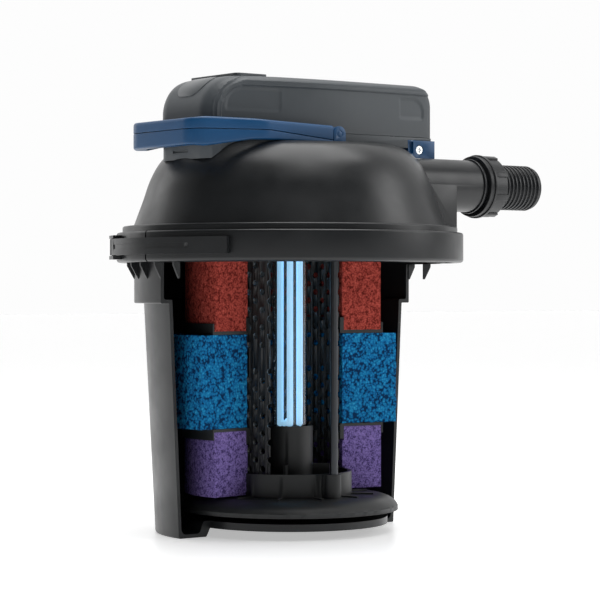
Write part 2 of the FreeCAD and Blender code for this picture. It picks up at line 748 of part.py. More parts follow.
def main():
    save("bucket", make_bucket())
    save("rim_seal", make_rim_seal())
    near, far = make_ring_halves()
    save("clamp_ring_near", near)
    save("clamp_ring_far", far)
    save("ring_hinge_pin", make_ring_hinge_pin())
    save("latch_lever", make_latch_lever())
    centre = point(latch_r, 0, latch_angle)
    save("latch_pin", rod(2.5, latch_z[0] - 4.6, latch_z[1] + 4.0, centre.x, centre.y))
    save("latch_link", make_latch_link())
    centre = point(link_r, 0, link_angle)
    save("latch_link_pin", rod(1.2, latch_z[0] + 1.1, latch_z[1] - 1.1, centre.x, centre.y))
    save("lid", make_lid())
    save("insert_plate", make_insert_plate())
    save("outlet_chamber", make_outlet_chamber())
    for name, side in (("outlet", -1), ("inlet", 1)):
        place = Vector(0, side * port_y, port_z)
        nut = make_union_nut()
        nut.translate(place)
        save("union_nut_" + name, nut)
        tail = make_hose_tail()
        tail.translate(place)
        save("hose_tail_" + name, tail)
    gaskets = []
    for side in (-1, 1):
        gasket = make_port_gasket()
        gasket.translate(Vector(0, side * port_y, port_z))
        gaskets.append(gasket)
    save("port_gaskets", group(gaskets))
    save("foam_red", make_foam_red())
    save("foam_blue", make_foam_blue())
    save("foam_purple", make_foam_purple())
    save("separator_upper", make_separator(blue_z[1], red_z[0], 1))
    save("separator_lower", make_separator(purple_z[1], blue_z[0], -1))
    save("base_plate", make_base_plate())
    save("core_tube", make_core_tube())
    save("lamp_guard", make_lamp_guard())
    save("lift_rods", make_lift_rods())
    save("rod_nuts", make_rod_nuts())
    save("rod_seals", make_rod_seals())
    save("head_cover", make_head_cover())
    save("head_base", make_head_base())
    save("head_gasket", make_head_gasket())
    save("top_panel", make_top_panel())
    save("top_rail", make_top_rail())
    save("rear_lock", make_rear_lock())
    save("lock_screw", make_lock_screw())
    save("cover_screws", make_cover_screws())
    save("ballast", make_ballast())
    save("lamp_socket", make_lamp_socket())
    save("sleeve_nut", make_sleeve_nut())
    save("sleeve_seal", make_sleeve_seal())
    save("uv_lamp", make_uv_lamp())
    save("quartz_sleeve", make_quartz_sleeve())
    save("cable_gland", make_cable_gland())
    upper, lower, screws = make_handle_shells()
    save("handle_upper", upper)
    save("handle_lower", lower)
    save("handle_screws", screws)
    save("handle_brackets", make_handle_brackets())
    save("handle_pins", make_handle_pins())


main()
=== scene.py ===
import json
import math

import bpy
from mathutils import Matrix, Vector, noise

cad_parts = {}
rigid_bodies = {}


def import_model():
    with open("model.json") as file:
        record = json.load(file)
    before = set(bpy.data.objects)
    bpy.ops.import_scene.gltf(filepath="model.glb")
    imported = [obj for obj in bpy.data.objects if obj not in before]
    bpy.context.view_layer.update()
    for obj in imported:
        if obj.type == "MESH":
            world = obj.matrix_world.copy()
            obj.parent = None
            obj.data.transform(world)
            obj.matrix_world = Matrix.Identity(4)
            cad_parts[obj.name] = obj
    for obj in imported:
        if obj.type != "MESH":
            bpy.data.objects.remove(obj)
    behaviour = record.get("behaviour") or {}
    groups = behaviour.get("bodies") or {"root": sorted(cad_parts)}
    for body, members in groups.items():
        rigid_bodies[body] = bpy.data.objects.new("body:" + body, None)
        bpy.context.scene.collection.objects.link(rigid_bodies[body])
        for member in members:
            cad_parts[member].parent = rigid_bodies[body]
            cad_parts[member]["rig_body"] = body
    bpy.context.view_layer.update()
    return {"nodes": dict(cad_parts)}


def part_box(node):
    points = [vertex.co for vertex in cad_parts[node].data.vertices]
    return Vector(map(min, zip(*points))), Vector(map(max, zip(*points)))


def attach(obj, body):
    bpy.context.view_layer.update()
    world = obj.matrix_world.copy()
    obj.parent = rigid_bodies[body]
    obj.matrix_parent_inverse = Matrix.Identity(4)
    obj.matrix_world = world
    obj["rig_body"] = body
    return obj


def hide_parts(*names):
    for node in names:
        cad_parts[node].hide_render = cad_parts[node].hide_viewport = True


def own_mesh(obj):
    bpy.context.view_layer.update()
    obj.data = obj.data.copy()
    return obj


# Pressurized pond filter, cut open to show its foams and its lamp. Sizes in mm until they reach a mesh.
mm = 0.001
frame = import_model()


# Lowest and highest corner of a CAD node, in mm.
def corners(node):
    low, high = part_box(node)
    return low / mm, high / mm


def deselectAll():
    if bpy.context.object and bpy.context.object.mode != "OBJECT":
        bpy.ops.object.mode_set(mode="OBJECT")
    bpy.ops.object.select_all(action="DESELECT")


def makeActive(obj):
    deselectAll()
    obj.select_set(True)
    bpy.context.view_layer.objects.active = obj


def editAll(obj, kind="VERT"):
    makeActive(obj)
    bpy.ops.object.mode_set(mode="EDIT")
    bpy.ops.mesh.select_mode(type=kind)
    bpy.ops.mesh.select_all(action="SELECT")


def cleanUp(obj, distance=0.002):
    editAll(obj)
    bpy.ops.mesh.remove_doubles(threshold=distance * mm)
    bpy.ops.mesh.normals_make_consistent(inside=False)
    bpy.ops.object.mode_set(mode="OBJECT")


def applyPlace(obj):
    makeActive(obj)
    bpy.ops.object.transform_apply(location=True, rotation=True, scale=True)


def applyModifier(obj, kind, **settings):
    makeActive(obj)
    modifier = obj.modifiers.new(kind.lower(), kind)
    for key, value in settings.items():
        setattr(modifier, key, value)
    bpy.ops.object.modifier_apply(modifier=modifier.name)


def smooth(obj, angle=35):
    makeActive(obj)
    bpy.ops.object.shade_smooth_by_angle(angle=math.radians(angle))


def bevelEdges(obj, width, segments=2, angle=40):
    applyModifier(obj, "BEVEL", width=width * mm, segments=segments, limit_method="ANGLE",
                  angle_limit=math.radians(angle), harden_normals=False)


def joinAll(objects, name):
    makeActive(objects[0])
    for obj in objects[1:]:
        obj.select_set(True)
    if len(objects) > 1:
        bpy.ops.object.join()
    joined = bpy.context.view_layer.objects.active
    joined.name = name
    return joined


def cutWith(obj, cutter, operation="DIFFERENCE"):
    applyModifier(obj, "BOOLEAN", object=cutter, operation=operation, solver="EXACT")
    bpy.data.objects.remove(cutter)


# Points: (r, z) or (r, z, radius). A radius rounds that corner with an arc.
def softOutline(points, steps=4):
    outline = []
    count = len(points)
    for i, p in enumerate(points):
        here = Vector(p[:2])
        radius = p[2] if len(p) > 2 else 0
        if not radius:
            outline.append(here)
            continue
        before = Vector(points[i - 1][:2]) - here
        after = Vector(points[(i + 1) % count][:2]) - here
        half = before.angle(after) / 2
        reach = min(radius / math.tan(half), 0.49 * before.length, 0.49 * after.length)
        a, b = here + before.normalized() * reach, here + after.normalized() * reach
        for k in range(steps + 1):
            t = k / steps
            outline.append((1 - t) ** 2 * a + 2 * t * (1 - t) * here + t * t * b)
    return outline


# Points on a smooth curve through the given (r, z) pairs.
def curveThrough(points, steps):
    known = [Vector(p) for p in points]
    line = [2 * known[0] - known[1]] + known + [2 * known[-1] - known[-2]]
    result = []
    for i in range(1, len(line) - 2):
        p0, p1, p2, p3 = line[i - 1:i + 3]
        for k in range(steps):
            t = k / steps
            result.append(0.5 * ((2 * p1) + (p2 - p0) * t + (2 * p0 - 5 * p1 + 4 * p2 - p3) * t * t
                                 + (3 * p1 - p0 - 3 * p2 + p3) * t ** 3))
    return result + [known[-1]]


# Spins a closed outline of (r, z) about the upright axis.
def lathe(name, outline, start=0, sweep=360, steps=128):
    deselectAll()
    bpy.ops.mesh.primitive_circle_add(vertices=len(outline), radius=0.1, fill_type="NOTHING")
    obj = bpy.context.object
    obj.name = name
    turn = math.radians(start)
    for vertex, (r, z) in zip(obj.data.vertices, outline):
        vertex.co = Vector((r * math.cos(turn), r * math.sin(turn), z)) * mm
    editAll(obj)
    if sweep < 360:
        bpy.ops.mesh.edge_face_add()
    bpy.ops.mesh.spin(steps=steps, angle=math.radians(sweep), center=(0, 0, 0), axis=(0, 0, -1))
    bpy.ops.object.mode_set(mode="OBJECT")
    cleanUp(obj)
    return obj


# Lays a grid through closed loops of points, all with the same count, and caps its ends.
def skin(name, loops):
    width, height = len(loops[0]), len(loops)
    deselectAll()
    bpy.ops.mesh.primitive_grid_add(x_subdivisions=width, y_subdivisions=height - 1, size=0.1)
    obj = bpy.context.object
    obj.name = name
    columns = width + 1
    for index, vertex in enumerate(obj.data.vertices):
        vertex.co = Vector(loops[index // columns][index % columns % width]) * mm
    editAll(obj)
    bpy.ops.mesh.remove_doubles(threshold=1e-6)
    bpy.ops.mesh.select_all(action="DESELECT")
    bpy.ops.mesh.select_non_manifold()
    bpy.ops.mesh.fill_holes(sides=0)
    bpy.ops.object.mode_set(mode="OBJECT")
    cleanUp(obj)
    return obj


# Block between two corners with its edges rounded.
def roundBlock(name, low, high, bevel):
    low, high = Vector(low), Vector(high)
    deselectAll()
    bpy.ops.mesh.primitive_cube_add(size=1, location=(low + high) / 2 * mm)
    obj = bpy.context.object
    obj.name = name
    obj.scale = (high - low) * mm
    applyPlace(obj)
    bevelEdges(obj, bevel, 3)
    return obj


# Rod between two points with its end edges rounded.
def roundBar(name, radius, start, end, bevel=0.4, sides=48):
    start, end = Vector(start), Vector(end)
    along = end - start
    deselectAll()
    bpy.ops.mesh.primitive_cylinder_add(vertices=sides, radius=radius * mm, depth=along.length * mm,
                                        location=(start + end) / 2 * mm,
                                        rotation=along.to_track_quat("Z", "Y").to_euler())
    obj = bpy.context.object
    obj.name = name
    applyPlace(obj)
    if bevel:
        bevelEdges(obj, bevel, 2, 50)
    return obj


# Finishes a piece: shading, material, the body it rides on and the CAD nodes it stands for.
def placePiece(obj, material, body, slotName, *nodes, angle=35):
    obj.data.materials.clear()
    obj.data.materials.append(material)
    smooth(obj, angle)
    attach(obj, body)
    if nodes:
        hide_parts(*nodes)
    return obj


# Copy of a CAD node with its triangles merged, its flat faces joined and its edges softened.
def polishNode(node, material, slotName, bevel=0.0):
    source = frame["nodes"][node]
    obj = bpy.data.objects.new(node + "_shell", source.data.copy())
    bpy.context.collection.objects.link(obj)
    editAll(obj)
    bpy.ops.mesh.remove_doubles(threshold=0.003 * mm)
    bpy.ops.mesh.dissolve_limited(angle_limit=math.radians(0.6))
    bpy.ops.object.mode_set(mode="OBJECT")
    if bevel:
        bevelEdges(obj, bevel, 2, 45)
    return placePiece(obj, material, source["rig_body"], slotName, node, angle=30)


# SRGB hex colour to linear RGBA.
def linear(hexColour):
    values = [int(hexColour[i:i + 2], 16) / 255 for i in (1, 3, 5)]
    return tuple(v / 12.92 if v <= 0.04045 else ((v + 0.055) / 1.055) ** 2.4 for v in values) + (1.0,)


# Adds a node. settings are its attributes; inputs are socket values or the sockets to link from.
def addNode(tree, kind, settings=None, inputs=None):
    node = tree.nodes.new(kind)
    for key, value in (settings or {}).items():
        setattr(node, key, value)
    for key, value in (inputs or {}).items():
        if isinstance(value, bpy.types.NodeSocket):
            tree.links.new(value, node.inputs[key])
        else:
            node.inputs[key].default_value = value
    return node


def startMaterial(name, colour, roughness, ior=1.49, metallic=0.0):
    material = bpy.data.materials.new(name)
    material.use_nodes = True
    tree = material.node_tree
    shader = tree.nodes["Principled BSDF"]
    shader.inputs["Base Color"].default_value = linear(colour)
    shader.inputs["Roughness"].default_value = roughness
    shader.inputs["Metallic"].default_value = metallic
    if not metallic:
        shader.inputs["IOR"].default_value = ior
    place = addNode(tree, "ShaderNodeTexCoord").outputs["Object"]
    return material, tree, shader, place


# Noise whose blobs are about sizeMm across.
def noiseNode(tree, place, sizeMm, detail, roughness=0.55):
    return addNode(tree, "ShaderNodeTexNoise", {"noise_dimensions": "3D"},
                   {"Vector": place, "Scale": 1000 / sizeMm, "Detail": detail, "Roughness": roughness})


def rampNode(tree, factor, stops):
    node = addNode(tree, "ShaderNodeValToRGB", None, {"Fac": factor})
    ramp = node.color_ramp
    while len(ramp.elements) < len(stops):
        ramp.elements.new(0.5)
    for element, (position, colour) in zip(ramp.elements, stops):
        element.position = position
        element.color = linear(colour) if isinstance(colour, str) else (colour, colour, colour, 1)
    return node


def addBump(tree, shader, height, strength, distanceMm):
    bump = addNode(tree, "ShaderNodeBump", None,
                   {"Height": height, "Strength": strength, "Distance": distanceMm * mm})
    tree.links.new(bump.outputs["Normal"], shader.inputs["Normal"])


# Injection-moulded plastic: a satin skin with a faint grain, broader gloss patches and slow tone drift.
def mouldedPlastic(name, colour, roughness, spread=0.06, grainMm=1.6, grain=0.12, shade=0.10):
    material, tree, shader, place = startMaterial(name, colour, roughness)
    patches = noiseNode(tree, place, 38, 3)
    gloss = addNode(tree, "ShaderNodeMapRange", None,
                    {"Value": patches.outputs["Fac"], "From Min": 0.3, "From Max": 0.7,
                     "To Min": roughness - spread, "To Max": roughness + spread})
    tree.links.new(gloss.outputs["Result"], shader.inputs["Roughness"])
    base = linear(colour)
    tone = addNode(tree, "ShaderNodeMix", {"data_type": "RGBA"}, {"Factor": patches.outputs["Fac"]})
    tone.inputs[6].default_value = tuple(c * (1 - shade) for c in base[:3]) + (1,)
    tone.inputs[7].default_value = tuple(c * (1 + shade) for c in base[:3]) + (1,)
    tree.links.new(tone.outputs[2], shader.inputs["Base Color"])
    fine = noiseNode(tree, place, grainMm, 2, 0.6)
    addBump(tree, shader, fine.outputs["Fac"], grain, 0.25)
    return material


# Open-cell foam: a net of thin struts round pores, dull, its colour broken up from pore to pore; the pores
# are darkened in the colour as painted shade, from the same pattern that bumps the face.
def reticulatedFoam(name, stops, poreMm, depthMm, strength):
    material, tree, shader, place = startMaterial(name, stops[1][1], 0.95, 1.4)
    warp = noiseNode(tree, place, poreMm * 2.2, 2)
    shift = addNode(tree, "ShaderNodeVectorMath", {"operation": "MULTIPLY_ADD"},
                    {0: warp.outputs["Color"], 1: (poreMm * mm,) * 3, 2: place})
    cells = addNode(tree, "ShaderNodeTexVoronoi", {"feature": "F1"},
                    {"Vector": shift.outputs["Vector"], "Scale": 1000 / poreMm, "Randomness": 1.0})
    blotch = noiseNode(tree, place, poreMm * 2.6, 3, 0.62)
    # Lower values sink as pores in the bump and take the darkest stops: painted shade in the pores, plus a
    # random tone drift from the blotch noise.
    poreDepthAndPaintedShade = addNode(tree, "ShaderNodeMath", {"operation": "MULTIPLY_ADD"},
                    {0: cells.outputs["Distance"], 1: -0.55, 2: blotch.outputs["Fac"]})
    ramp = rampNode(tree, poreDepthAndPaintedShade.outputs["Value"], stops)
    tree.links.new(ramp.outputs["Color"], shader.inputs["Base Color"])
    addBump(tree, shader, poreDepthAndPaintedShade.outputs["Value"], strength, depthMm)
    shader.inputs["Specular IOR Level"].default_value = 0.15
    return material


# Polypropylene, injection moulded: near black, satin, it mirrors the bright studio in soft patches
blackPlastic = mouldedPlastic("polypropylene_moulded_black", "#191b1d", 0.36)
# Polypropylene, the same but turned to the inside, where it stays dull
innerPlastic = mouldedPlastic("polypropylene_moulded_inner", "#202223", 0.48, grain=0.2)
# ABS, moulded with a fine spark-eroded texture: dark grey, softer highlights
greyPlastic = mouldedPlastic("abs_textured_dark_grey", "#4a4f53", 0.44, 0.04, 1.2, 0.16)
# ABS, polished tool: lighter grey, almost smooth
panelPlastic = mouldedPlastic("abs_polished_grey", "#54585b", 0.34, 0.03, 3.0, 0.03)
# ABS, dyed blue, satin
bluePlastic = mouldedPlastic("abs_moulded_blue", "#0f4a78", 0.4, 0.05, 1.4, 0.08)
# Nitrile rubber, moulded: black and dull
rubber = mouldedPlastic("nitrile_rubber_moulded", "#151515", 0.7, 0.05, 1.0, 0.2)

# The first, darkest stop of each foam is painted shade in its pores.
redFoam = reticulatedFoam("polyurethane_foam_red", [
    (0.0, "#64201b"), (0.34, "#b34b41"), (0.62, "#cf6154"), (1.0, "#dd7465")], 2.0, 1.2, 0.5)
blueFoam = reticulatedFoam("polyurethane_foam_blue_coarse", [
    (0.06, "#0c3358"), (0.2, "#146aa6"), (0.44, "#2290c6"), (0.75, "#55bfe0")], 2.9, 2.0, 0.7)
purpleFoam = reticulatedFoam("polyurethane_foam_purple", [
    (0.0, "#453969"), (0.3, "#8471b5"), (0.6, "#9d88cd"), (1.0, "#b09ddd")], 1.7, 1.0, 0.4)


# Drawn and turned steel: fine rings along the bar that spread the highlight.
def drawnSteel(name, colour, roughness):
    material, tree, shader, place = startMaterial(name, colour, roughness, metallic=1.0)
    rings = addNode(tree, "ShaderNodeTexWave", {"wave_type": "BANDS", "bands_direction": "Z"},
                    {"Vector": place, "Scale": 160.0, "Distortion": 1.5, "Detail": 2.0})
    addBump(tree, shader, rings.outputs["Fac"], 0.08, 0.05)
    return material


rodSteel = drawnSteel("stainless_steel_drawn", "#4c4e51", 0.34)
# Stainless steel, stamped and polished: bright, with small dark reflections
screwSteel = drawnSteel("stainless_steel_polished", "#d8dadc", 0.16)
paintedSteel = mouldedPlastic("steel_sheet_powder_coated", "#8d9092", 0.5)


# Fused quartz, drawn: clear, it shows only as reflections at its edges.
def quartzGlass():
    material, tree, shader, place = startMaterial("quartz_drawn_clear", "#f4faff", 0.02, 1.458)
    shader.inputs["Transmission Weight"].default_value = 1.0
    streaks = noiseNode(tree, place, 30, 1)
    addBump(tree, shader, streaks.outputs["Fac"], 0.02, 0.1)
    return material


# Lit lamp tube: pale blue light, a little stronger and weaker in slow bands.
def litLampGlass():
    material, tree, shader, place = startMaterial("soda_glass_lit_blue", "#9fd4f2", 0.2, 1.5)
    bands = noiseNode(tree, place, 60, 1)
    shader.inputs["Emission Color"].default_value = linear("#a9d9f6")
    power = addNode(tree, "ShaderNodeMapRange", None,
                    {"Value": bands.outputs["Fac"], "To Min": 0.62, "To Max": 0.8})
    tree.links.new(power.outputs["Result"], shader.inputs["Emission Strength"])
    return material


quartz = quartzGlass()
lampGlass = litLampGlass()
print("materials ready")


cameraSetup = {"bearing": 37.19, "distance": 2469.0, "height": 262.6, "lens": 134.8, "shiftX": 0.01675,
               "shiftY": -0.0148}
# In metres and watts, all turned to one point of the filter
softboxes = {"softboxTop": {"location": (0.1, -0.3, 2.4), "size": (2.0, 2.0), "energy": 46},
             "softboxRight": {"location": (2.0, -1.6, 1.3), "size": (1.2, 1.6), "energy": 20},
             "softboxLeft": {"location": (-0.9, 2.6, 1.1), "size": (0.8, 1.6), "energy": 5}}
softboxTarget = (0, 0, 0.3)


def makeCamera():
    turn = math.radians(cameraSetup["bearing"])
    d = cameraSetup["distance"]
    deselectAll()
    place = Vector((-d * math.sin(turn), -d * math.cos(turn), cameraSetup["height"])) * mm
    bpy.ops.object.camera_add(location=place, rotation=(math.pi / 2, 0, -turn))
    camera = bpy.context.object
    camera.data.lens = cameraSetup["lens"]
    camera.data.sensor_width = 36
    camera.data.shift_x = cameraSetup["shiftX"]
    camera.data.shift_y = cameraSetup["shiftY"]
    camera.data.clip_end = 50
    bpy.context.scene.camera = camera


def makeSoftbox(name):
    s = softboxes[name]
    deselectAll()
    bpy.ops.object.light_add(type="AREA", location=s["location"])
    light = bpy.context.object
    light.name = name
    light.data.shape = "RECTANGLE"
    light.data.size, light.data.size_y = s["size"]
    light.data.energy = s["energy"]
    towards = Vector(softboxTarget) - Vector(s["location"])
    light.rotation_euler = towards.to_track_quat("-Z", "Y").to_euler()


def makeStudio():
    world = bpy.data.worlds.new("studio")
    bpy.context.scene.world = world
    world.use_nodes = True
    tree = world.node_tree
    background = tree.nodes["Background"]
    background.inputs["Strength"].default_value = 1.0
    # The room mirrors as a bright wall behind the filter and a dim room in front of it
    direction = addNode(tree, "ShaderNodeTexCoord").outputs["Generated"]
    turn = math.radians(cameraSetup["bearing"])
    along = addNode(tree, "ShaderNodeVectorMath", {"operation": "DOT_PRODUCT"},
                    {0: direction, 1: (math.sin(turn), math.cos(turn), 0.35)})
    share = addNode(tree, "ShaderNodeMapRange", None,
                    {"Value": along.outputs["Value"], "From Min": -1, "From Max": 1})
    room = rampNode(tree, share.outputs["Result"],
                    [(0.0, 0.08), (0.42, 0.09), (0.64, 0.12), (0.76, 0.35), (0.9, 1.0)])
    seen = addNode(tree, "ShaderNodeLightPath").outputs["Is Camera Ray"]
    tone = addNode(tree, "ShaderNodeMix", {"data_type": "RGBA"}, {"Factor": seen, 6: room.outputs["Color"]})
    tone.inputs[7].default_value = linear("#fdfdfd")
    tree.links.new(tone.outputs[2], background.inputs["Color"])
    for name in softboxes:
        makeSoftbox(name)
    deselectAll()
    bpy.ops.mesh.primitive_plane_add(size=40, location=(0, 0, 0))
    floor = bpy.context.object
    floor.name = "studioFloor"
    material, tree, shader, place = startMaterial("floor_vinyl_white", "#f6f6f6", 0.32, 1.4)
    worn = noiseNode(tree, place, 90, 2)
    soften = addNode(tree, "ShaderNodeMapRange", None,
                     {"Value": worn.outputs["Fac"], "To Min": 0.3, "To Max": 0.36})
    tree.links.new(soften.outputs["Result"], shader.inputs["Roughness"])
    # Lit from below like a light table, so only the nearest shadow shows
    shader.inputs["Emission Color"].default_value = linear("#ffffff")
    shader.inputs["Emission Strength"].default_value = 0.42
    floor.data.materials.append(material)
    bpy.context.scene.view_settings.view_transform = "Standard"


makeCamera()
makeStudio()
print("camera, lights and floor ready")


bucketHigh = corners("bucket")[1]
bucketSizes = {"rim": bucketHigh.y, "rimTop": bucketHigh.z, "rimUnder": bucketHigh.z - 5.7, "wall": 4.0,
               "collar": 170.8, "step": 249.5, "bodyTop": 160.1, "foot": 147.7, "floorRadius": 107.0,
               "floorTop": 17.0, "floorDepth": 7.4, "grooveFloor": 4, "grooveOuter": 141, "grooveInner": 121,
               "grooveTop": 116, "cutTop": 293.0, "ribs": 5, "ribTurn": 10.0, "ribHalf": 1.1, "ribEnd": 179,
               "ribFoot": 276, "ribFull": 290}


def makeBucket():
    s = bucketSizes
    w = s["wall"]
    outline = softOutline([
        (s["rim"], s["rimUnder"], 1), (s["rim"], s["rimTop"], 1), (s["collar"] - w, s["rimTop"], 1),
        (s["collar"] - w, s["step"] + w, 3), (s["bodyTop"] - w, s["step"] + w, 1.5),
        (s["foot"] - w + 0.6, 8, 6), (s["grooveOuter"], s["grooveFloor"], 5),
        (s["grooveInner"], s["grooveFloor"], 5), (s["grooveTop"], s["floorTop"], 4),
        (0.01, s["floorTop"]), (0.01, s["floorTop"] - s["floorDepth"]),
        (s["floorRadius"], s["floorTop"] - s["floorDepth"], 2),
        (s["floorRadius"] + 5, 0, 2), (s["foot"], 0, 2), (s["bodyTop"], s["step"], 1.0),
        (s["collar"], s["step"], 1.6), (s["collar"], s["rimUnder"], 2)])
    tub = lathe("bucketTub", outline, steps=180)
    cutter = lathe("cutter", [(0.01, s["floorTop"] + 0.3), (s["floorRadius"], s["floorTop"] + 0.3),
                              (s["floorRadius"], -20), (260, -20), (260, s["cutTop"]), (0.01, s["cutTop"])],
                   180, 180, 96)
    cutWith(tub, cutter)
    ribs = []
    for centre in (10, 170):
        for k in range(s["ribs"]):
            rib = skin("rib", [[(s["collar"] - 1, y, s["ribFoot"]), (s["collar"] + 0.6, y, s["ribFoot"]),
                                (s["ribEnd"], y, s["ribFull"]), (s["ribEnd"], y, s["rimUnder"] + 0.6),
                                (s["collar"] - 1, y, s["rimUnder"] + 0.6)]
                               for y in (-s["ribHalf"], s["ribHalf"])])
            turn = centre + s["ribTurn"] * (k - (s["ribs"] - 1) / 2)
            rib.data.transform(Matrix.Rotation(math.radians(turn), 4, "Z"))
            ribs.append(rib)
    bucket = joinAll([tub] + ribs, "bucketShell")
    placePiece(bucket, blackPlastic, "filter_body", "casing_black", "bucket")


makeBucket()
print("bucket ready")


ringLow, ringHigh = corners("clamp_ring_near")
ringSizes = {"radius": -ringLow.y, "low": ringLow.z, "high": ringHigh.z, "inner": 187.7, "topLip": 184.2,
             "bottomLip": 180.0, "lip": 5.5, "round": 4.0, "gap": 0.35, "hingeX": 195.0,
             "knuckle": 4.6, "knuckleGap": 0.4, "armStart": 188.5, "clear": 5.2, "latchTurn": 157.0,
             "earTurn": 3.5, "earInner": 188.6, "earOuter": 199.1, "ears": ((296.6, 300.8), (319.0, 322.6))}


def makeRingHalf(name, start):
    s = ringSizes
    outline = softOutline([
        (s["inner"], s["low"] + s["lip"]), (s["bottomLip"], s["low"] + s["lip"], 0.8),
        (s["bottomLip"], s["low"], 1), (s["radius"], s["low"], s["round"]),
        (s["radius"], s["high"], s["round"]), (s["topLip"], s["high"], 1),
        (s["topLip"], s["high"] - s["lip"], 0.8), (s["inner"], s["high"] - s["lip"])], 5)
    return lathe(name, outline, start + s["gap"], 180 - 2 * s["gap"], 128)


def makeKnuckle(low, high, side):
    s = ringSizes
    barrel = roundBar("knuckle", s["knuckle"], (s["hingeX"], 0, low), (s["hingeX"], 0, high), 0.5, 32)
    y0, y1 = sorted((0, side * s["knuckle"]))
    return [barrel, roundBlock("arm", (s["armStart"], y0, low), (s["hingeX"], y1, high), 0.4)]


def clearHinge(half):
    s = ringSizes
    low, high = (s["hingeX"], 0, s["low"] - 1), (s["hingeX"], 0, s["high"] + 1)
    cutWith(half, roundBar("clear", s["clear"], low, high, 0))


def makeRing():
    s = ringSizes
    low, high = s["low"] + 3, s["high"] - 3
    third = (high - low) / 3
    near = makeRingHalf("near", 180)
    clearHinge(near)
    knuckles = makeKnuckle(low, low + third - s["knuckleGap"], -1)
    knuckles += makeKnuckle(high - third + s["knuckleGap"], high, -1)
    near = joinAll([near] + knuckles, "clampRingNear")
    placePiece(near, blackPlastic, "clamp_near", "casing_black", "clamp_ring_near")
    far = makeRingHalf("far", 0)
    clearHinge(far)
    ears = []
    for z0, z1 in s["ears"]:
        outline = softOutline([(s["earInner"], z0), (s["earOuter"], z0, 0.8), (s["earOuter"], z1, 0.8),
                               (s["earInner"], z1)])
        ears.append(lathe("ear", outline, s["latchTurn"] - s["earTurn"], 2 * s["earTurn"], 6))
    far = joinAll([far] + makeKnuckle(low + third, high - third, 1) + ears, "clampRingFar")
    placePiece(far, blackPlastic, "clamp_far", "casing_black", "clamp_ring_far")


makeRing()
for node, material, slotName in (("latch_lever", blackPlastic, "casing_black"),
                                 ("latch_link", innerPlastic, "casing_black"),
                                 ("latch_pin", rodSteel, "steel"), ("latch_link_pin", rodSteel, "steel"),
                                 ("ring_hinge_pin", rodSteel, "steel")):
    polishNode(node, material, slotName)
print("clamping ring ready")


lidSizes = {"rim": 187.0, "low": 305.6, "flange": 319.0, "bead": 183.5, "beadTop": 333.0, "foot": 171.5,
            "top": 420.5, "topRadius": 116.0, "wall": 4.0, "opening": 40.0, "portY": 80.5, "portZ": 380.0,
            "port": 29.0, "bore": 23.0, "portEnd": 205.0, "rodY": 78.0, "rodHole": 6.5}
domeLine = [(171.5, 333.0), (166.0, 348.0), (160.5, 363.0), (154.4, 381.0), (146.5, 397.0), (138.0, 408.0),
            (127.5, 416.6), (116.0, 420.5)]


def makeLid():
    s = lidSizes
    dome = curveThrough(domeLine, 5)
    inside = [(p.x - s["wall"], p.y - 2) for p in curveThrough(domeLine[:-1], 3)]
    outline = (softOutline([(s["foot"] - s["wall"], s["low"]), (s["rim"], s["low"], 1),
                            (s["rim"], s["flange"], 1), (s["bead"], s["flange"], 0.5),
                            (s["bead"], s["beadTop"], 2.4), (s["foot"] + 2.0, s["beadTop"], 1.2)]) + dome
               + [(s["opening"], s["top"]), (s["opening"], s["top"] - s["wall"]),
                  (s["topRadius"] - 2, s["top"] - s["wall"])] + inside[::-1])
    shell = lathe("lidShell", outline, steps=200)
    for side in (-1, 1):
        y = side * s["portY"]
        pipe = roundBar("pipe", s["port"], (40, y, s["portZ"]), (s["portEnd"], y, s["portZ"]), 0.8, 96)
        collar = roundBar("collar", s["port"] + 1.6, (s["portEnd"] - 17, y, s["portZ"]),
                          (s["portEnd"] - 14, y, s["portZ"]), 0.6, 96)
        web = roundBlock("web", (90, y - s["port"], s["beadTop"] - 2), (148, y + s["port"], s["portZ"]), 1.0)
        cutWith(pipe, web, "UNION")
        cutWith(pipe, collar, "UNION")
        room = [(0.01, 300), (167.6, 300), (167.5, 332)] + inside + [(0.01, s["top"] - s["wall"])]
        hollow = lathe("hollow", room, steps=96)
        cutWith(pipe, hollow)
        cutWith(shell, pipe, "UNION")
        bore = roundBar("drill", s["bore"], (60, y, s["portZ"]), (s["portEnd"] + 5, y, s["portZ"]), 0, 64)
        cutWith(shell, bore)
        rodY = side * s["rodY"]
        hole = roundBar("drill", s["rodHole"], (0, rodY, s["top"] - 12), (0, rodY, s["top"] + 2), 0, 32)
        cutWith(shell, hole)
    placePiece(shell, blackPlastic, "filter_body", "casing_black", "lid", angle=30)


makeLid()
print("lid ready")


nutSizes = {"start": 194.0, "end": 220.0, "radius": 34.0, "grips": 8, "gripHalf": 3.6, "inner": 29.5,
            "mouth": 26.1, "mouthDepth": 5}
tailSizes = {"start": 206.8, "end": 280.0, "radius": 25.5, "core": 23.9, "bore": 20.0, "pitch": 5.6,
             "flange": 28.6}


# Turns a piece made about the upright axis so that it runs along X, in line with its port.
def layInPort(obj, side):
    y = -lidSizes["portY"] if side == "outlet" else lidSizes["portY"]
    place = Vector((0, y, lidSizes["portZ"])) * mm
    obj.data.transform(Matrix.Translation(place) @ Matrix.Rotation(math.pi / 2, 4, "Y"))


